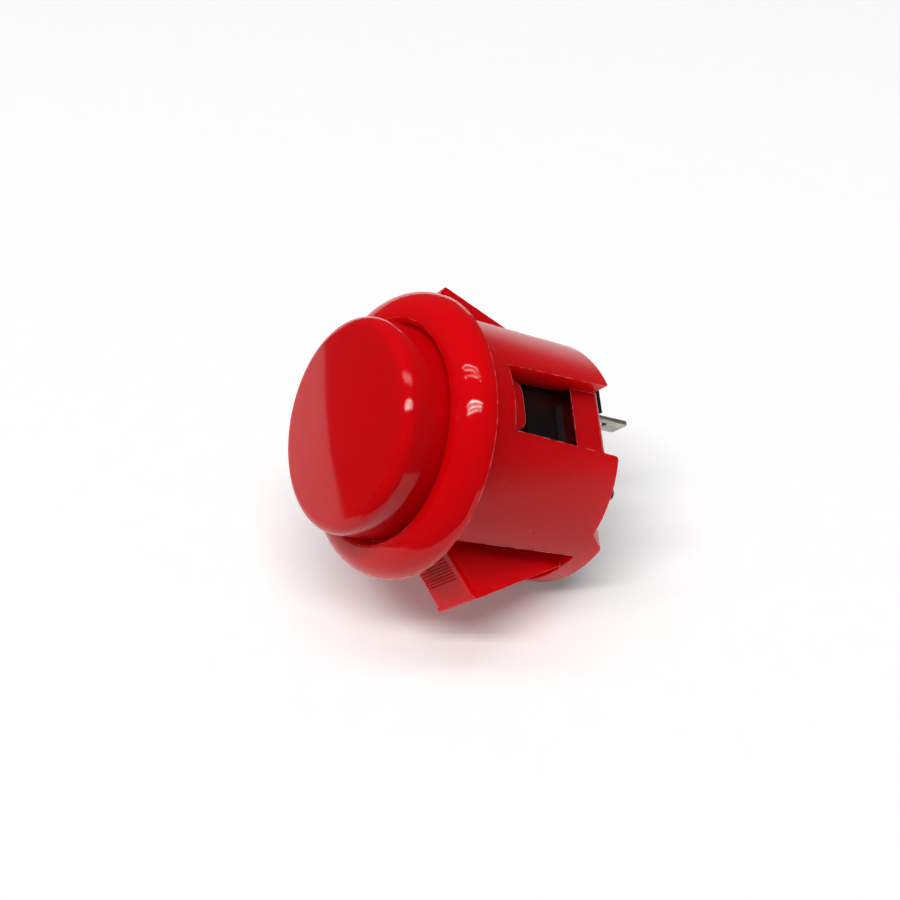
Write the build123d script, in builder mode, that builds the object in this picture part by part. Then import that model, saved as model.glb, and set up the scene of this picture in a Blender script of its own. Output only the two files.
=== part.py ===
"""Snap-in arcade push button for a 30 mm panel hole, with its snap-action switch.

Millimetres. +Z runs out of the panel along the plunger's axis, and the origin is the centre of
the seat under the rim, where the panel's face lies. The two snap tabs are on X, the two windows
that show the plunger's hooks and the switch are on Y. Pieces are drawn with the plunger released.
"""
import os
from math import asin, cos, hypot, sin

from build123d import *

# Panel hole, rim and barrel
panel_hole_radius = 15.0
panel_clearance = 0.1
rim_overlap = 1.65
rim_edge_height = 0.7
rim_height = 3.45
rim_bulge = 0.94
rim_lip = 0.5
barrel_wall = 1.6
guide_depth = 4.1

# Plunger
plunger_radius = 12.3
plunger_bore_gap = 0.25
plunger_height = 8.9
plunger_edge_radius = 1.5
crown_drop = 0.35
crown_join_angle = 10.0
crown_trim = 0.01
cap_thickness = 1.9
skirt_wall = 1.2
skirt_depth = 3.0
stem_radius = 2.4
travel = 2.5

# Plunger legs and hooks
hook_half_width = 3.0
hook_reach = 0.75
hook_gap = 0.15
hook_height = 2.85
hook_corner = 1.6

# Barrel ends, slots and snap tabs
petal_depth = 20.0
petal_corner = 0.5
tab_band = 2.7
tab_band_half_width = 8.65
tab_band_draft = 1.65
tab_band_corner = 0.9
slot_half_width = 5.4
slot_depth = 19.65
tab_half_width = 3.3
tab_offset = 0.4
tab_peak_reach = 4.6
tab_peak_depth = 6.05
tab_peak_radius = 0.4
tab_face_depth = 2.95
tab_tip_inset = 1.2
tab_root_inset = 0.5
tab_arm = 1.8
tab_core = 1.9
tab_side_wall = 1.2
tab_rebate = 0.27
tab_rebate_depth = 0.4
tab_rebate_stop = 0.6

# Ribs on the tabs' panel faces
groove_count = 10
groove_pitch = 0.36
groove_width = 0.3
groove_depth = 0.16
groove_start = 0.5
groove_land = 0.95

# Windows, rear bars and the guides that hold the switch
window_front_half_width = 3.85
window_rear_half_width = 4.4
bar_thickness = 1.3
bar_depth = 15.8
bar_slope = 0.9
bar_overhang = 0.9
bar_side_overlap = 0.3
bar_edge_radius = 1.2
bar_corner = 1.4
guide_wall = 1.3
guide_length = 2.7

# Switch case
case_half_width = 5.3
case_half_length = 10.3
case_side_gap = 0.2
case_end_gap = 0.4
case_wall = 1.5
case_roof = 1.3
case_front_gap = 0.3
base_thickness = 2.55
base_plug = 1.0
base_side_overhang = 2.6
base_end_overhang = 0.1
base_corner = 0.8
base_notch_half_width = 3.0
base_notch_depth = 1.4
plug_gap = 0.1
lug_half_width = 2.5
lug_reach = 0.75
lug_ramp = 0.35
lug_land = 1.6
lug_gap = 0.1

# Terminals: 2.8 mm quick-connect blades
blade_width = 2.8
blade_thickness = 0.5
blade_side_gap = 0.1
blade_end_gap = 0.22
blade_length = 6.45
blade_corner = 0.35
blade_hole_radius = 0.6
blade_hole_setback = 3.3
blade_slot_gap = 0.05

# Pusher
pusher_radius = 1.7
pusher_gap = 0.2
pusher_margin = 0.8
pusher_contact_gap = 0.1
pusher_flange_radius = 2.6
pusher_flange = 0.8
pusher_stop_gap = 0.1
nose_radius = 0.8
nose_length = 1.3
nose_chamfer = 0.4

# Lever, contact arm, contacts and snap spring
lever_half_width = 1.0
lever_neck_half_width = 0.5
lever_neck = 1.2
lever_thickness = 0.5
lever_tail = 1.0
lever_gap = 0.3
arm_thickness = 0.4
arm_drop = 0.9
arm_leg_inner = 1.4
arm_leg_width = 0.9
arm_end = 1.4
tongue_length = 1.5
tongue_half_width = 0.9
post_gap = 0.25
post_reach = 0.35
contact_radius = 1.0
contact_height = 0.45
contact_edge = 0.15
contact_stroke = 0.7
contact_clearance = 0.05
spring_thickness = 0.15
spring_half_width = 0.8
spring_gap = 0.3
spring_rise = 0.9

# Radii and levels that follow from the sizes above
barrel_radius = panel_hole_radius - panel_clearance
barrel_inner = barrel_radius - barrel_wall
rim_radius = panel_hole_radius + rim_overlap
bore_radius = plunger_radius + plunger_bore_gap
band_depth = petal_depth + tab_band
hook_top = -guide_depth - hook_gap
hook_bottom = hook_top - hook_height
case_front = hook_bottom - travel - case_front_gap
guide_top = -skirt_depth - travel - case_front_gap
case_rear = -petal_depth
base_rear = case_rear - base_thickness
floor_level = case_rear + base_plug
roof_level = case_front - case_roof
pocket_half_width = case_half_width + case_side_gap
pocket_half_length = case_half_length + case_end_gap
cavity_half_width = case_half_width - case_wall
cavity_half_length = case_half_length - case_wall
bar_outer = pocket_half_length + bar_thickness
bar_half_width = window_rear_half_width + bar_side_overlap
bar_end = petal_depth + bar_overhang
base_half_width = case_half_width + base_side_overhang
base_half_length = case_half_length + base_end_overhang
blade_offset = cavity_half_width - blade_side_gap - blade_thickness / 2
blade_middle = cavity_half_length - blade_end_gap - blade_width / 2
pusher_top = case_front + travel + pusher_margin
stem_bottom = pusher_top + pusher_contact_gap

# Snap tab outline in X and Z: tip, peak, root on the band, and the straight inner face
face_drop = tab_peak_depth - tab_face_depth
face_length = hypot(tab_peak_reach, face_drop)
face_along = Vector(tab_peak_reach, -face_drop) / face_length
face_out = Vector(face_drop, tab_peak_reach) / face_length
tab_tip = Vector(barrel_radius, -tab_face_depth) - face_along * (
    tab_tip_inset * face_length / tab_peak_reach
)
tab_peak = Vector(barrel_radius + tab_peak_reach, -tab_peak_depth)
tab_root = Vector(barrel_radius - tab_root_inset, -slot_depth)
tab_inner = tab_root.X - tab_arm
tab_outline = [
    tab_tip,
    tab_peak,
    tab_root,
    Vector(tab_root.X, -slot_depth - tab_band / 2),
    Vector(barrel_inner, -slot_depth - tab_band / 2),
    Vector(tab_inner, -slot_depth),
    Vector(tab_inner, tab_tip.Y - (tab_tip.X - tab_inner)),
]
tab_plane = Plane.XZ.offset(-tab_offset)
rebate_end = tab_peak - face_along * tab_rebate_stop
tab_rebate_corners = [
    tab_tip + face_out * tab_rebate_depth,
    rebate_end + face_out * tab_rebate_depth,
    rebate_end - face_out * tab_rebate_depth,
    tab_tip - face_out * tab_rebate_depth,
]


def groove_corners(index):
    """Corners in X and Z of one saw-tooth groove across a tab's panel face."""
    start = tab_tip + face_along * (groove_start + index * groove_pitch)
    end = start + face_along * groove_width
    return (
        start,
        start + face_out * groove_depth,
        end + face_out * groove_depth,
        end - face_out * groove_depth,
    )


# Housing: one red ABS moulding with rim, barrel, snap tabs and switch pocket
with BuildPart() as housing:
    with BuildSketch(Plane.XZ):
        with BuildLine():
            dome = SagittaArc(
                (rim_radius, rim_edge_height), (bore_radius + rim_lip, rim_height), -rim_bulge
            )
            Polyline(
                dome @ 1,
                (bore_radius, rim_height - rim_lip),
                (bore_radius, -guide_depth),
                (barrel_inner, -guide_depth),
                (barrel_inner, -band_depth),
                (barrel_radius, -band_depth),
                (barrel_radius, 0),
                (rim_radius, 0),
                dome @ 0,
            )
        make_face()
    revolve(axis=Axis.Z)

    # Rear ends: the petals stop short, the bands that carry the tabs run on
    with BuildSketch(Plane.YZ) as rear_cut:
        with Locations((0, -petal_depth - tab_band)):
            Rectangle(4 * rim_radius, 2 * tab_band)
        Polygon(
            (-tab_band_half_width, -petal_depth),
            (tab_band_half_width, -petal_depth),
            (tab_band_half_width - tab_band_draft, -band_depth),
            (tab_band_draft - tab_band_half_width, -band_depth),
            align=None,
            mode=Mode.SUBTRACT,
        )
        fillet(rear_cut.vertices().group_by(Axis.Y)[1], tab_band_corner)
    extrude(amount=rim_radius, both=True, mode=Mode.SUBTRACT)

    # Corner guides for the switch, clear of the pressed plunger, opened by windows and switch pocket
    with BuildSketch(Plane.XY.offset(guide_top)):
        with GridLocations(0, 2 * barrel_radius, 1, 2):
            Rectangle(
                2 * (pocket_half_width + guide_wall),
                2 * (barrel_radius - pocket_half_length + guide_length),
            )
        Circle(barrel_inner + barrel_wall / 2, mode=Mode.INTERSECT)
    extrude(amount=-petal_depth - guide_top)
    with BuildSketch(Plane.XZ) as window:
        Polygon(
            (-window_front_half_width, -guide_depth),
            (window_front_half_width, -guide_depth),
            (window_rear_half_width, -petal_depth),
            (-window_rear_half_width, -petal_depth),
            align=None,
        )
        with Locations((0, -petal_depth - petal_corner / 2)):
            Rectangle(2 * window_rear_half_width + 4 * petal_corner, petal_corner)
        fillet(window.vertices().group_by(Axis.Y)[1].sort_by(Axis.X)[1:-1], petal_corner)
    extrude(amount=rim_radius, both=True, mode=Mode.SUBTRACT)

    # Bars behind the windows, which the switch's lugs snap past, cut to length by the pocket
    with BuildSketch(Plane.XZ) as bar_face:
        with Locations((0, -(bar_depth + bar_end) / 2)):
            Rectangle(2 * bar_half_width, bar_end - bar_depth)
        fillet(bar_face.vertices().group_by(Axis.Y)[0], bar_corner)
    extrude(amount=bar_outer, both=True)
    with BuildSketch(Plane.YZ):
        Polygon(
            (0, -bar_depth),
            (bar_outer, -bar_depth),
            (0, -bar_depth - bar_slope * bar_outer),
            align=None,
        )
        with Locations((bar_outer, -bar_end)):
            Rectangle(2 * bar_edge_radius, 2 * bar_edge_radius)
        with Locations((bar_outer - bar_edge_radius, bar_edge_radius - bar_end)):
            Circle(bar_edge_radius, mode=Mode.SUBTRACT)
        mirror(about=Plane.YZ)
    extrude(amount=bar_half_width, both=True, mode=Mode.SUBTRACT)
    with BuildSketch(Plane.XY.offset(-guide_depth)):
        Rectangle(2 * pocket_half_width, 2 * pocket_half_length)
    extrude(amount=-band_depth, mode=Mode.SUBTRACT)

    # Slots, and the hollow snap tabs that stand in them with ribbed panel faces
    with BuildSketch(Plane.XY):
        with GridLocations(2 * rim_radius, 0, 2, 1):
            Rectangle(2 * (rim_radius - pocket_half_width - guide_wall), 2 * slot_half_width)
    extrude(amount=-slot_depth, mode=Mode.SUBTRACT)
    with BuildSketch(tab_plane):
        Polygon(*tab_outline, align=None)
        mirror(about=Plane.YZ)
    extrude(amount=tab_half_width, both=True)
    with BuildSketch(tab_plane):
        with Locations((-tab_core, 0)):
            Polygon(*tab_outline[:3], *tab_outline[-2:], align=None)
        mirror(about=Plane.YZ)
    extrude(amount=tab_half_width - tab_side_wall, both=True, mode=Mode.SUBTRACT)
    peak_edges = housing.edges().filter_by(Axis.Y).sort_by(Axis.X)
    fillet([peak_edges[0], peak_edges[-1]], tab_peak_radius)
    with BuildSketch(tab_plane.offset(tab_half_width - groove_land)):
        for index in range(groove_count):
            Polygon(*groove_corners(index), align=None)
        mirror(about=Plane.YZ)
    extrude(amount=-2 * tab_half_width, mode=Mode.SUBTRACT)
    with BuildSketch(
        tab_plane.offset(tab_half_width - tab_rebate),
        tab_plane.offset(-tab_half_width - tab_rebate),
    ):
        Polygon(*tab_rebate_corners, align=None)
        mirror(about=Plane.YZ)
    extrude(amount=2 * tab_rebate, mode=Mode.SUBTRACT)
housing.part.label = "housing"

# Plunger: one red ABS moulding with crowned cap, skirt, stem and two hooked legs
with BuildPart() as plunger:
    with BuildSketch(Plane.XZ):
        with BuildLine():
            edge = CenterArc(
                (plunger_radius - plunger_edge_radius, plunger_height - crown_drop - plunger_edge_radius),
                plunger_edge_radius,
                start_angle=0,
                arc_size=90 - crown_join_angle,
            )
            join = edge @ 1
            Polyline(
                join,
                join - (edge % 1) * (join.X / (edge % 1).X),
                (0, stem_bottom),
                (stem_radius, stem_bottom),
                (stem_radius, plunger_height - cap_thickness),
                (plunger_radius - skirt_wall, plunger_height - cap_thickness),
                (plunger_radius - skirt_wall, -skirt_depth),
                (plunger_radius, -skirt_depth),
                edge @ 0,
            )
        make_face()
    revolve(axis=Axis.Z)
    crown_fall = plunger_height - join.Y + crown_trim
    crown_radius = (join.X**2 + crown_fall**2) / (2 * crown_fall)
    with Locations((0, 0, plunger_height - crown_radius)):
        Sphere(crown_radius, rotation=(90, 0, 0), mode=Mode.INTERSECT)
    with BuildSketch(Plane.XY.offset(-skirt_depth)):
        Circle(plunger_radius)
        Circle(plunger_radius - skirt_wall, mode=Mode.SUBTRACT)
        Rectangle(2 * hook_half_width, 4 * plunger_radius, mode=Mode.INTERSECT)
    extrude(amount=hook_bottom + skirt_depth)
    with BuildSketch(Plane.YZ):
        Polygon(
            (plunger_radius - skirt_wall / 2, hook_top),
            (plunger_radius + hook_reach, hook_top),
            (plunger_radius + hook_reach, hook_bottom),
            (plunger_radius - skirt_wall / 2, hook_bottom),
            align=None,
        )
        mirror(about=Plane.YZ)
    extrude(amount=hook_half_width, both=True)
    fillet(plunger.edges().filter_by(Axis.Y).group_by(Axis.Z)[0], hook_corner)
plunger.part.label = "plunger"

# Switch cover: black moulding, open at the rear, with the pusher's hole and two end lugs, whose
# rear faces slope with the bars behind them
lug_inner = case_half_length - lug_reach
lug_outer = case_half_length + lug_reach
lug_rear = lug_gap - bar_depth - bar_slope * (bar_outer - lug_outer)
with BuildPart() as switch_cover:
    with BuildSketch(Plane.XY.offset(case_rear)):
        Rectangle(2 * case_half_width, 2 * case_half_length)
    extrude(amount=case_front - case_rear)
    with BuildSketch(Plane.XY.offset(case_rear)):
        Rectangle(2 * cavity_half_width, 2 * cavity_half_length)
    extrude(amount=roof_level - case_rear, mode=Mode.SUBTRACT)
    with BuildSketch(Plane.XY.offset(case_front)):
        Circle(pusher_radius + pusher_gap)
    extrude(amount=-case_roof, mode=Mode.SUBTRACT)
    with BuildSketch(Plane.YZ):
        Polygon(
            (lug_inner, lug_rear - bar_slope * (lug_outer - lug_inner)),
            (lug_outer, lug_rear),
            (lug_outer, lug_rear + lug_land),
            (case_half_length, lug_rear + lug_land + lug_ramp),
            (lug_inner, lug_rear + lug_land + lug_ramp),
            align=None,
        )
        mirror(about=Plane.YZ)
    extrude(amount=lug_half_width, both=True)
switch_cover.part.label = "switch_cover"

# Mechanism levels: the lever lies level at half travel, the arm at half its stroke
flange_top = roof_level - pusher_stop_gap
nose_level = flange_top - pusher_flange - nose_length
pivot_reach = blade_middle - (blade_width - blade_thickness) / 2
pivot_level = nose_level - travel / 2 - lever_gap - lever_thickness / 2
lever_tilt = asin(travel / 2 / pivot_reach)
lever_length = pivot_reach / cos(lever_tilt) + lever_tail
arm_level = pivot_level - arm_drop
arm_reach = pivot_reach + blade_middle
arm_tilt = asin(contact_stroke / 2 / arm_reach)
lever_plane = Plane(
    origin=(0, pivot_reach, pivot_level),
    x_dir=(0, -cos(lever_tilt), sin(lever_tilt)),
    z_dir=(0, sin(lever_tilt), cos(lever_tilt)),
)
arm_plane = Plane(
    origin=(0, pivot_reach, arm_level),
    x_dir=(0, -cos(arm_tilt), -sin(arm_tilt)),
    z_dir=(0, -sin(arm_tilt), cos(arm_tilt)),
)
contact_level = arm_level + contact_stroke / 2 + arm_thickness / 2 + contact_height
ledge_level = contact_level + contact_clearance + contact_height

# Switch base: black moulding that closes the cover, with blade slots and the arm's stop
with BuildPart() as switch_base:
    with BuildSketch(Plane.XY.offset(case_rear)):
        RectangleRounded(2 * base_half_width, 2 * base_half_length, base_corner)
        with GridLocations(0, 2 * base_half_length, 1, 2):
            Rectangle(2 * base_notch_half_width, 2 * base_notch_depth, mode=Mode.SUBTRACT)
    extrude(amount=-base_thickness)
    with BuildSketch(Plane.XY.offset(case_rear)):
        Rectangle(2 * (cavity_half_width - plug_gap), 2 * (cavity_half_length - plug_gap))
    extrude(amount=base_plug)
    with BuildSketch(Plane.XY.offset(floor_level)):
        with Locations((0, -blade_middle)):
            Rectangle(2 * contact_radius, 2 * contact_radius)
    extrude(
        amount=arm_level - contact_stroke / 2 - arm_thickness - contact_clearance - floor_level
    )
    with BuildSketch(Plane.XY.offset(floor_level)):
        with Locations((blade_offset, -blade_middle), (-blade_offset, blade_middle)):
            Rectangle(blade_thickness + 2 * blade_slot_gap, blade_width + 2 * blade_slot_gap)
    extrude(amount=base_rear - floor_level, mode=Mode.SUBTRACT)
switch_base.part.label = "switch_base"

blade_tip = base_rear - blade_length
blade_plane = Plane(origin=(blade_offset, -blade_middle, 0), x_dir=(0, 1, 0), z_dir=(1, 0, 0))
common_plane = Plane(origin=(-blade_offset, blade_middle, 0), x_dir=(0, 1, 0), z_dir=(1, 0, 0))

# Open terminal: tinned brass blade, bent inwards to a ledge over the contact arm
with BuildPart() as open_terminal:
    with BuildSketch(blade_plane):
        with Locations((0, (ledge_level + blade_thickness + blade_tip) / 2)):
            Rectangle(blade_width, ledge_level + blade_thickness - blade_tip)
        with Locations((0, blade_tip + blade_hole_setback)):
            Circle(blade_hole_radius, mode=Mode.SUBTRACT)
    extrude(amount=blade_thickness / 2, both=True)
    tip_edges = open_terminal.edges().filter_by(Axis.X).group_by(Axis.Z)[0]
    fillet(tip_edges, blade_corner)
    with BuildSketch(Plane.XY.offset(ledge_level)):
        with Locations(((blade_offset - contact_radius) / 2, -blade_middle)):
            Rectangle(blade_offset + contact_radius, blade_width)
    extrude(amount=blade_thickness)
open_terminal.part.label = "open_terminal"

# Common terminal: tinned brass blade, bent across the case to the post that holds lever and arm
post_top = pivot_level + lever_thickness + 2 * post_gap
post_half_width = arm_leg_inner + arm_leg_width + 2 * post_gap
with BuildPart() as common_terminal:
    with BuildSketch(common_plane):
        with Locations((0, (post_top + blade_tip) / 2)):
            Rectangle(blade_width, post_top - blade_tip)
        with Locations((0, blade_tip + blade_hole_setback)):
            Circle(blade_hole_radius, mode=Mode.SUBTRACT)
    extrude(amount=blade_thickness / 2, both=True)
    tip_edges = common_terminal.edges().filter_by(Axis.X).group_by(Axis.Z)[0]
    fillet(tip_edges, blade_corner)
    with BuildSketch(Plane.XZ.offset(-pivot_reach)):
        with Locations(((post_half_width - blade_offset) / 2, (post_top + floor_level) / 2)):
            Rectangle(post_half_width + blade_offset, post_top - floor_level)
        with Locations((0, pivot_level)):
            Rectangle(
                2 * (lever_neck_half_width + post_gap),
                lever_thickness + 2 * post_gap,
                mode=Mode.SUBTRACT,
            )
        with Locations((0, arm_level)):
            with GridLocations(2 * arm_leg_inner + arm_leg_width, 0, 2, 1):
                Rectangle(arm_leg_width + post_gap, arm_thickness + post_gap, mode=Mode.SUBTRACT)
    extrude(amount=blade_thickness / 2, both=True)
common_terminal.part.label = "common_terminal"

# Pusher: black acetal pin with a stop flange and a blunt nose
with BuildPart() as switch_pusher:
    with BuildSketch(Plane.XZ):
        Polygon(
            (0, nose_level),
            (nose_radius, nose_level),
            (nose_radius, flange_top - pusher_flange),
            (pusher_flange_radius, flange_top - pusher_flange),
            (pusher_flange_radius, flange_top),
            (pusher_radius, flange_top),
            (pusher_radius, pusher_top),
            (0, pusher_top),
            align=None,
        )
    revolve(axis=Axis.Z)
    chamfer(switch_pusher.edges().group_by(Axis.Z)[0], nose_chamfer)
switch_pusher.part.label = "switch_pusher"

# Actuating lever: sprung brass strip, necked where it hangs in the post
with BuildPart() as actuating_lever:
    with BuildSketch(lever_plane):
        with Locations(((lever_length - post_reach) / 2, 0)):
            Rectangle(lever_length + post_reach, 2 * lever_neck_half_width)
        with Locations(((lever_length + lever_neck) / 2, 0)):
            Rectangle(lever_length - lever_neck, 2 * lever_half_width)
    extrude(amount=lever_thickness / 2, both=True)
actuating_lever.part.label = "actuating_lever"

# Contact arm: forked copper strip whose legs stand in the post and straddle the lever
bridge_start = arm_reach - arm_end
with BuildPart() as contact_arm:
    with BuildSketch(arm_plane):
        with Locations(((bridge_start - post_reach) / 2, 0)):
            with GridLocations(0, 2 * arm_leg_inner + arm_leg_width, 1, 2):
                Rectangle(bridge_start + post_reach, arm_leg_width)
        with Locations((arm_reach, 0)):
            Rectangle(2 * arm_end, 2 * (arm_leg_inner + arm_leg_width))
        with Locations((bridge_start - tongue_length / 2, 0)):
            Rectangle(tongue_length, 2 * tongue_half_width)
    extrude(amount=arm_thickness / 2, both=True)
contact_arm.part.label = "contact_arm"

# Contacts: silver-alloy rivets, one on the arm and one under the open terminal's ledge
with BuildPart() as moving_contact:
    with BuildSketch(arm_plane.offset(arm_thickness / 2)):
        with Locations((arm_reach, 0)):
            Circle(contact_radius)
    extrude(amount=contact_height)
    chamfer(moving_contact.edges().group_by(Axis.Z)[-1], contact_edge)
moving_contact.part.label = "moving_contact"

with BuildPart() as fixed_contact:
    with BuildSketch(Plane.XY.offset(ledge_level)):
        with Locations((0, -blade_middle)):
            Circle(contact_radius)
    extrude(amount=-contact_height)
    chamfer(fixed_contact.edges().group_by(Axis.Z)[0], contact_edge)
fixed_contact.part.label = "fixed_contact"

# Snap spring: bowed steel leaf that pushes the arm away from the lever's tail
lever_end = lever_plane.from_local_coords((lever_length + spring_gap, 0, 0))
tongue_end = arm_plane.from_local_coords((bridge_start - tongue_length - spring_gap, 0, 0))
with BuildPart() as snap_spring:
    with BuildSketch(Plane.YZ):
        with BuildLine() as bow:
            SagittaArc((lever_end.Y, lever_end.Z), (tongue_end.Y, tongue_end.Z), spring_rise)
        trace(bow.line, spring_thickness)
    extrude(amount=spring_half_width, both=True)
snap_spring.part.label = "snap_spring"

os.makedirs("parts", exist_ok=True)
for piece in (
    housing,
    plunger,
    switch_cover,
    switch_base,
    open_terminal,
    common_terminal,
    switch_pusher,
    actuating_lever,
    contact_arm,
    moving_contact,
    fixed_contact,
    snap_spring,
):
    export_step(piece.part, f"parts/{piece.part.label}.step")
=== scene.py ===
import bpy
import numpy as np
from mathutils import Matrix, Vector


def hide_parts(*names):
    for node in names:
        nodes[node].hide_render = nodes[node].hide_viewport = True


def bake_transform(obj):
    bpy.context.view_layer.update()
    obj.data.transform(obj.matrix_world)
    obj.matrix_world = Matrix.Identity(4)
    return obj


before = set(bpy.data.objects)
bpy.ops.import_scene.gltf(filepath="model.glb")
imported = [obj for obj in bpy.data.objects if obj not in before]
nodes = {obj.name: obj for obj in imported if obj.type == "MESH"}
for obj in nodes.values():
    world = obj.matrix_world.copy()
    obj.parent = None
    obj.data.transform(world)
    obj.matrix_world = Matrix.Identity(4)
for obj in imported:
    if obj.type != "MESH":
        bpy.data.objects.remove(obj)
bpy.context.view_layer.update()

# Housing: rim, barrel and snap tabs are one moulding of red ABS, from a tool that is polished for the rim
# and left satin behind the panel's plane. Light sinks into the red and glows, the gloss has a faint
# orange peel, and the slightly rounded edges carry pale patches that are partly handling wear and partly
# painted highlight.
red_shade = "#D8010A"
red_glow = "#E2030F"
# Pale colour painted along the rounded edges: part handling wear, part painted highlight.
edge_wear_and_highlight = "#F0A09A"
red_ior = 1.31
glow_depth = 0.006
glow_spread = (1.0, 0.05, 0.04)
cloud_mm = 9
haze_mm = 2.4
wear_and_highlight_mm = 1.3
peel_mm = 1.8
edge_radius = 0.00014
finish_change = 0.0002
rim_polish = 0.035
barrel_satin = 0.24

# The tabs' ribs keep their sharp edges: they lie beyond this reach in X and round this level in Z.
rib_reach = 0.0132
rib_level = -0.0041
rib_span = 0.0021


def linear(hex_colour):
    """sRGB hex to linear RGBA: ((c + 0.055) / 1.055) to the power 2.4, or c / 12.92 near black."""
    c = np.array([int(hex_colour[i:i + 2], 16) for i in (1, 3, 5)]) / 255
    return (*np.where(c > 0.04045, ((c + 0.055) / 1.055) ** 2.4, c / 12.92), 1.0)


def add(tree, kind, settings=(), inputs=()):
    """Adds a node with its settings; each input takes a value or another node's output socket.

    A Mix node takes two colours in 6 and 7 and gives 2, or two vectors in 4 and 5 and gives 1.
    """
    made = tree.nodes.new(kind)
    for name, value in dict(settings).items():
        setattr(made, name, value)
    for name, value in dict(inputs).items():
        if isinstance(value, bpy.types.NodeSocket):
            tree.links.new(value, made.inputs[name])
        else:
            made.inputs[name].default_value = value
    return made


def finish_of(name, **constants):
    """A new material: its node tree, its shader with constant sockets set, and Object coordinates."""
    material = bpy.data.materials.new(name)
    material.use_nodes = True
    tree = material.node_tree
    shader = tree.nodes["Principled BSDF"]
    for socket, value in constants.items():
        shader.inputs[socket.replace("_", " ")].default_value = value
    coords = add(tree, "ShaderNodeTexCoord").outputs["Object"]
    return material, tree, shader, coords


def per_mm(size):
    """Texture scale whose features are that many millimetres across, on coordinates in metres."""
    return 1000 / size


def moulded_red(name, polish):
    """Moulded red ABS: polished or satin by the panel's plane; rounded edges pale from wear and painted
    highlight.
    """
    material, tree, shader, coords = finish_of(
        name,
        IOR=red_ior,
        Subsurface_Weight=1.0,
        Subsurface_Radius=glow_spread,
        Subsurface_Scale=glow_depth,
    )
    cloud = add(
        tree, "ShaderNodeTexNoise", {}, {"Vector": coords, "Scale": per_mm(cloud_mm), "Detail": 3.0}
    )
    tone = add(
        tree,
        "ShaderNodeMix",
        {"data_type": "RGBA"},
        {0: cloud.outputs["Fac"], 6: linear(red_shade), 7: linear(red_glow)},
    )

    # Roughness changes at the panel's plane and is a little patchy
    place = add(tree, "ShaderNodeSeparateXYZ", {}, {"Vector": coords})
    finish = add(
        tree,
        "ShaderNodeMapRange",
        {},
        {
            "Value": place.outputs["Z"],
            "From Min": -finish_change,
            "From Max": finish_change,
            "To Min": barrel_satin,
            "To Max": polish,
        },
    )
    haze = add(
        tree, "ShaderNodeTexNoise", {}, {"Vector": coords, "Scale": per_mm(haze_mm), "Detail": 4.0}
    )
    patchy = add(
        tree, "ShaderNodeMapRange", {}, {"Value": haze.outputs["Fac"], "To Min": 0.7, "To Max": 1.3}
    )
    gloss = add(
        tree,
        "ShaderNodeMath",
        {"operation": "MULTIPLY"},
        {0: finish.outputs["Result"], 1: patchy.outputs["Result"]},
    )

    # An edge is where the rounded normal leans away from the face's own; the ribs are left out
    face = add(tree, "ShaderNodeNewGeometry")
    edge = add(tree, "ShaderNodeBevel", {"samples": 8}, {"Radius": edge_radius})
    lean = add(
        tree,
        "ShaderNodeVectorMath",
        {"operation": "DOT_PRODUCT"},
        {0: face.outputs["Normal"], 1: edge.outputs["Normal"]},
    )
    reach = add(tree, "ShaderNodeMath", {"operation": "ABSOLUTE"}, {0: place.outputs["X"]})
    outside = add(
        tree, "ShaderNodeMath", {"operation": "GREATER_THAN"}, {0: reach.outputs[0], 1: rib_reach}
    )
    level = add(
        tree,
        "ShaderNodeMath",
        {"operation": "COMPARE"},
        {0: place.outputs["Z"], 1: rib_level, 2: rib_span},
    )
    ribbed = add(
        tree, "ShaderNodeMath", {"operation": "MULTIPLY"}, {0: outside.outputs[0], 1: level.outputs[0]}
    )
    smooth = add(tree, "ShaderNodeMath", {"operation": "SUBTRACT"}, {0: 1.0, 1: ribbed.outputs[0]})
    turned = add(
        tree,
        "ShaderNodeMapRange",
        {},
        {
            "Value": lean.outputs["Value"],
            "From Min": 0.99,
            "From Max": 0.95,
            "To Max": smooth.outputs[0],
        },
    )

    # Pale patches come and go along the edges, paler and rougher than the rest: part wear, part painted
    # highlight
    wear_and_highlight_noise = add(
        tree, "ShaderNodeTexNoise", {}, {"Vector": coords, "Scale": per_mm(wear_and_highlight_mm), "Detail": 5.0}
    )
    wear_and_highlight_spread = add(
        tree,
        "ShaderNodeMapRange",
        {},
        {"Value": wear_and_highlight_noise.outputs["Fac"], "From Min": 0.46, "From Max": 0.6, "To Max": 0.6},
    )
    wear_and_highlight_mask = add(
        tree,
        "ShaderNodeMath",
        {"operation": "MULTIPLY"},
        {0: turned.outputs["Result"], 1: wear_and_highlight_spread.outputs["Result"]},
    )
    wear_and_highlight_tone = add(
        tree,
        "ShaderNodeMix",
        {"data_type": "RGBA"},
        {0: wear_and_highlight_mask.outputs[0], 6: tone.outputs[2], 7: linear(edge_wear_and_highlight)},
    )
    tree.links.new(wear_and_highlight_tone.outputs[2], shader.inputs["Base Color"])
    rough = add(
        tree,
        "ShaderNodeMath",
        {"operation": "MULTIPLY_ADD"},
        {0: wear_and_highlight_mask.outputs[0], 1: 0.5, 2: gloss.outputs[0]},
    )
    tree.links.new(rough.outputs[0], shader.inputs["Roughness"])

    eased = add(
        tree,
        "ShaderNodeMix",
        {"data_type": "VECTOR"},
        {0: turned.outputs["Result"], 4: face.outputs["Normal"], 5: edge.outputs["Normal"]},
    )
    peel = add(
        tree, "ShaderNodeTexNoise", {}, {"Vector": coords, "Scale": per_mm(peel_mm), "Detail": 1.0}
    )
    bump = add(
        tree,
        "ShaderNodeBump",
        {},
        {
            "Strength": 0.12,
            "Distance": 0.00002,
            "Height": peel.outputs["Fac"],
            "Normal": eased.outputs[1],
        },
    )
    tree.links.new(bump.outputs["Normal"], shader.inputs["Normal"])
    return material


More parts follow.
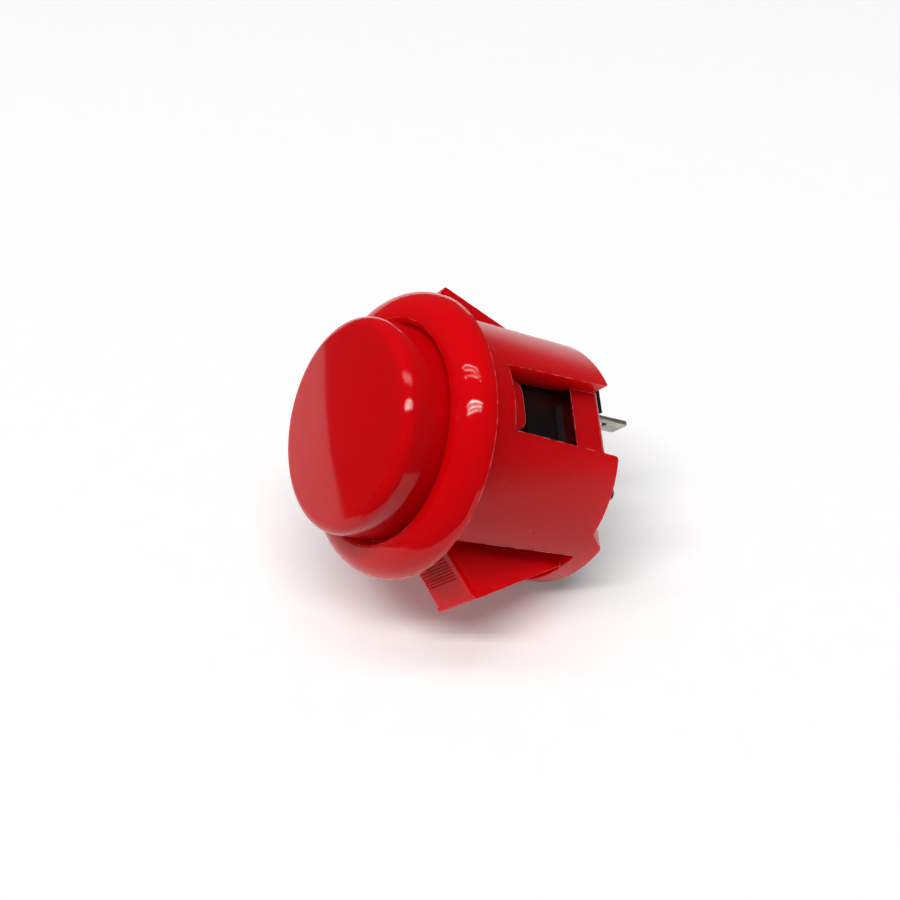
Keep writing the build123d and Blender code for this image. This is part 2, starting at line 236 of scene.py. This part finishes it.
def dress(material, *names):
    """Gives CAD nodes their finished material."""
    for name in names:
        nodes[name].data.materials.clear()
        nodes[name].data.materials.append(material)


dress(moulded_red("red_abs", rim_polish), "housing")

# Plunger: a second moulding in the same red ABS, with a crowned cap that fingers have dulled a little.
# It slides in the rim's bore and shows its hooks in the windows.
cap_polish = 0.06
dress(moulded_red("cap_red_abs", cap_polish), "plunger")

# Switch: cover and base of black glass-filled nylon, which clip together round the mechanism.
# The fibres give the surface a fine dry grain, drawn coarser than it is so that it shows.
grain_mm = 0.35
nylon, tree, shader, coords = finish_of("black_nylon", IOR=1.42)
grain = add(
    tree, "ShaderNodeTexNoise", {}, {"Vector": coords, "Scale": per_mm(grain_mm), "Detail": 4.0}
)
sheen = add(
    tree, "ShaderNodeMapRange", {}, {"Value": grain.outputs["Fac"], "To Min": 0.24, "To Max": 0.36}
)
tree.links.new(sheen.outputs["Result"], shader.inputs["Roughness"])
tone = add(
    tree,
    "ShaderNodeMix",
    {"data_type": "RGBA"},
    {0: grain.outputs["Fac"], 6: linear("#030303"), 7: linear("#060606")},
)
tree.links.new(tone.outputs[2], shader.inputs["Base Color"])
bump = add(
    tree, "ShaderNodeBump", {}, {"Strength": 0.25, "Distance": 0.00002, "Height": grain.outputs["Fac"]}
)
tree.links.new(bump.outputs["Normal"], shader.inputs["Normal"])
dress(nylon, "switch_cover", "switch_base")

# Pusher: a turned pin of black acetal, smoother than the case that it slides in.
# Turning leaves faint rings round it, which show as bands of sheen along Z.
ring_mm = 1.5
acetal, tree, shader, coords = finish_of("black_acetal", IOR=1.48)
rings = add(
    tree,
    "ShaderNodeTexWave",
    {"bands_direction": "Z"},
    {"Vector": coords, "Scale": per_mm(ring_mm), "Distortion": 1.0, "Detail": 2.0},
)
sheen = add(
    tree, "ShaderNodeMapRange", {}, {"Value": rings.outputs["Fac"], "To Min": 0.28, "To Max": 0.36}
)
tree.links.new(sheen.outputs["Result"], shader.inputs["Roughness"])
tone = add(
    tree,
    "ShaderNodeMix",
    {"data_type": "RGBA"},
    {0: rings.outputs["Fac"], 6: linear("#141416"), 7: linear("#1E1E21")},
)
tree.links.new(tone.outputs[2], shader.inputs["Base Color"])
dress(acetal, "switch_pusher")

# Terminals: blades stamped from brass strip and tin plated. The dull plate keeps the strip's
# rolling lines along the blade and has a few darker handling stains.
stain_mm = 1.6
line_stretch = (1.0, 1.0, 0.04)


def rolled_strip(name, dark, light, smooth, dull, line_mm):
    """Rolled metal strip: lines across X and Y drawn out along Z, over patches of tarnish."""
    material, tree, shader, coords = finish_of(name, Metallic=1.0)
    drawn = add(tree, "ShaderNodeMapping", {}, {"Vector": coords, "Scale": line_stretch})
    roll = add(
        tree,
        "ShaderNodeTexNoise",
        {},
        {"Vector": drawn.outputs["Vector"], "Scale": per_mm(line_mm), "Detail": 3.0},
    )
    stain = add(
        tree, "ShaderNodeTexNoise", {}, {"Vector": coords, "Scale": per_mm(stain_mm), "Detail": 3.0}
    )
    both = add(
        tree,
        "ShaderNodeMath",
        {"operation": "MULTIPLY"},
        {0: roll.outputs["Fac"], 1: stain.outputs["Fac"]},
    )
    spread = add(
        tree, "ShaderNodeMapRange", {}, {"Value": both.outputs[0], "From Min": 0.1, "From Max": 0.4}
    )
    tone = add(
        tree,
        "ShaderNodeMix",
        {"data_type": "RGBA"},
        {0: spread.outputs["Result"], 6: linear(dark), 7: linear(light)},
    )
    tree.links.new(tone.outputs[2], shader.inputs["Base Color"])
    gloss = add(
        tree, "ShaderNodeMapRange", {}, {"Value": roll.outputs["Fac"], "To Min": smooth, "To Max": dull}
    )
    tree.links.new(gloss.outputs["Result"], shader.inputs["Roughness"])
    bump = add(
        tree,
        "ShaderNodeBump",
        {},
        {"Strength": 0.15, "Distance": 0.00001, "Height": roll.outputs["Fac"]},
    )
    tree.links.new(bump.outputs["Normal"], shader.inputs["Normal"])
    return material


tinned_brass = rolled_strip("tinned_brass", "#A2A095", "#D8D6CB", 0.3, 0.45, 0.12)
dress(tinned_brass, "open_terminal", "common_terminal")

# Mechanism: lever and contact arm of bare spring brass strip, with riveted silver contacts.
# They hang in the post of the common terminal, hidden in the case until it is opened.
spring_brass = rolled_strip("spring_brass", "#A97F36", "#D9B364", 0.28, 0.42, 0.1)
dress(spring_brass, "actuating_lever", "contact_arm")
contact_silver = rolled_strip("contact_silver", "#B9B6AC", "#E4E2DC", 0.2, 0.32, 0.3)
dress(contact_silver, "moving_contact", "fixed_contact")

# Snap spring: a bowed leaf of rolled spring steel, held between the lever's tail and the arm's tongue.
# In the switch it bends as the lever swings; here it is built as one fixed bow.
lever_end = np.array((-1.272, -13.653))
tongue_end = np.array((-3.977, -16.365))
leaf_rise = 0.9
leaf_thickness = 0.15
leaf_half_width = 0.8
leaf_stations = 33
leaf_crease = 0.5


def bowed_leaf():
    """Strip of rectangular section on an arc in Y and Z, in metres.

    The arc's radius is (chord^2 / 4 + rise^2) / (2 rise); each station has four corners.
    """
    chord = tongue_end - lever_end
    length = np.hypot(*chord)
    along = chord / length
    outward = np.array((-along[1], along[0]))
    radius = (length ** 2 / 4 + leaf_rise ** 2) / (2 * leaf_rise)
    centre = (lever_end + tongue_end) / 2 - outward * (radius - leaf_rise)
    half_angle = np.arcsin(length / 2 / radius)
    angle = np.linspace(-half_angle, half_angle, leaf_stations)[:, None]
    spoke = outward * np.cos(angle) + along * np.sin(angle)
    inner = centre + spoke * (radius - leaf_thickness / 2)
    outer = centre + spoke * (radius + leaf_thickness / 2)
    section = np.stack((inner, outer, outer, inner), axis=1)
    sides = np.array((-1, -1, 1, 1))[:, None] * leaf_half_width
    width = np.broadcast_to(sides, (leaf_stations, 4, 1))
    return np.concatenate((width, section), axis=2).reshape(-1, 3) / 1000


corner = np.arange(4)
step = 4 * np.arange(leaf_stations - 1)[:, None]
following = (corner + 1) % 4
sides = np.stack(
    (step + corner, step + following, step + 4 + following, step + 4 + corner), axis=2
)
tips = np.array((corner[::-1], corner + 4 * (leaf_stations - 1)))
mesh = bpy.data.meshes.new("snap_spring_leaf")
mesh.from_pydata(bowed_leaf().tolist(), [], np.concatenate((sides.reshape(-1, 4), tips)).tolist())
mesh.shade_smooth()
mesh.set_sharp_from_angle(angle=leaf_crease)
mesh.materials.append(rolled_strip("spring_steel", "#77787B", "#A9ABAE", 0.25, 0.4, 0.1))
leaf = bpy.data.objects.new("snap_spring_leaf", mesh)
bpy.context.scene.collection.objects.link(leaf)
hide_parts("snap_spring")
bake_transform(leaf)

# Table: a plain white sheet, laid askew. The button lies on the common blade's tip, one tab's rear band
# and the barrel's rear edge, so the sheet is the plane under those three. It is clear from below.
# Paper's fibres are too fine to show, so they are drawn as faint clouds.
table_up = Vector((0.476, -0.689, 0.547)).normalized()
eye = Vector((-49.60551508, -100.64667976, 78.21481027)) / 1000
towards = (eye - table_up * eye.dot(table_up)).normalized()
aside = table_up.cross(towards)
points = [np.array([v.co for v in part.data.vertices]) for part in nodes.values()]
table_level = float(np.min(np.concatenate(points) @ np.array(table_up)))
sheet_corners = ((-0.094, 0.038), (0.6, 0.121), (0.6, -0.8), (-0.9, -0.8))
fibre_mm = 3
white_lift = 0.14


def on_table(right, near, height):
    """Point in metres from the sheet under the origin: to the camera's right, towards it, and up."""
    return aside * right + towards * near + table_up * (table_level + height)


white, tree, shader, coords = finish_of("white_paper")
tree.nodes.remove(shader)
fibre = add(
    tree, "ShaderNodeTexNoise", {}, {"Vector": coords, "Scale": per_mm(fibre_mm), "Detail": 4.0}
)
tone = add(
    tree,
    "ShaderNodeMix",
    {"data_type": "RGBA"},
    {0: fibre.outputs["Fac"], 6: linear("#F3F2F2"), 7: linear("#F8F7F7")},
)
paper = add(tree, "ShaderNodeBsdfDiffuse", {}, {"Color": tone.outputs[2]})
path = add(tree, "ShaderNodeLightPath")
direct = add(
    tree,
    "ShaderNodeMath",
    {"operation": "MAXIMUM"},
    {0: path.outputs["Is Camera Ray"], 1: path.outputs["Is Glossy Ray"]},
)
seen = add(
    tree,
    "ShaderNodeMath",
    {"operation": "MAXIMUM"},
    {0: direct.outputs[0], 1: path.outputs["Is Transmission Ray"]},
)
lift = add(tree, "ShaderNodeMath", {"operation": "MULTIPLY"}, {0: seen.outputs[0], 1: white_lift})
glow = add(tree, "ShaderNodeEmission", {}, {"Strength": lift.outputs[0]})
front = add(tree, "ShaderNodeAddShader", {}, {0: paper.outputs[0], 1: glow.outputs[0]})
clear = add(tree, "ShaderNodeBsdfTransparent")
below = add(tree, "ShaderNodeNewGeometry")
cut = add(
    tree,
    "ShaderNodeMath",
    {"operation": "MULTIPLY"},
    {0: below.outputs["Backfacing"], 1: path.outputs["Is Camera Ray"]},
)
one_sided = add(
    tree, "ShaderNodeMixShader", {}, {0: cut.outputs[0], 1: front.outputs[0], 2: clear.outputs[0]}
)
tree.links.new(one_sided.outputs[0], tree.nodes["Material Output"].inputs["Surface"])

mesh = bpy.data.meshes.new("table")
mesh.from_pydata([tuple(on_table(right, near, 0)) for right, near in sheet_corners], [], [(0, 1, 2, 3)])
mesh.materials.append(white)
table = bpy.data.objects.new("table", mesh)
bpy.context.scene.collection.objects.link(table)

# Light: two banks of three bare strips, one overhead and one towards the camera, in a dim room.
# The bars run a little askew to the camera, as their lines on the rim show.
# Each bank has its distance towards the camera in metres and the watts of one strip.
banks = ((-0.037, 4.0), (0.791, 11.5))
lamp_height = 2.0
strip_length = 2.1
strip_width = 0.026
strip_spacing = 0.12
bar_slope = 0.137
bar_shift = 0.25
aim = on_table(0, 0, 0.02)
room = bpy.data.worlds.new("dim_room")
bpy.context.scene.world = room
room.use_nodes = True
room.node_tree.nodes["Background"].inputs["Color"].default_value = linear("#F4F5F7")
room.node_tree.nodes["Background"].inputs["Strength"].default_value = 0.1
bar_run = (aside + towards * bar_slope).normalized()
for bank, (near, power) in enumerate(banks):
    for strip in (-1, 0, 1):
        data = bpy.data.lights.new(f"strip_lamp_{bank}_{strip + 1}", "AREA")
        data.shape = "RECTANGLE"
        data.size = strip_length
        data.size_y = strip_width
        data.energy = power
        lamp = bpy.data.objects.new(data.name, data)
        place = on_table(0, near + strip * strip_spacing, lamp_height) - bar_run * bar_shift
        back = (place - aim).normalized()
        across = (bar_run - back * bar_run.dot(back)).normalized()
        turn = Matrix((across, back.cross(across), back)).transposed()
        lamp.matrix_world = Matrix.Translation(place) @ turn.to_4x4()
        lamp.visible_camera = False
        bpy.context.scene.collection.objects.link(lamp)

# Camera at the photograph's angle: the button's axis runs left and down, with one tab below.
# Place, turn and lens come from fitting the 29.8 mm barrel and the rim to their outlines.
sight = bpy.data.cameras.new("camera")
sight.sensor_width = 36
sight.lens = 47.628
sight.clip_start = 0.01
camera = bpy.data.objects.new("camera", sight)
right = Vector((-0.08987, -0.61681, -0.78196)).normalized()
back = Vector((-0.34798, -0.71621, 0.60494)).normalized()
turn = Matrix((right, back.cross(right), back)).transposed()
camera.matrix_world = Matrix.Translation(eye) @ turn.to_4x4()
bpy.context.scene.collection.objects.link(camera)
bpy.context.scene.camera = camera
bpy.context.scene.view_settings.view_transform = "Standard"
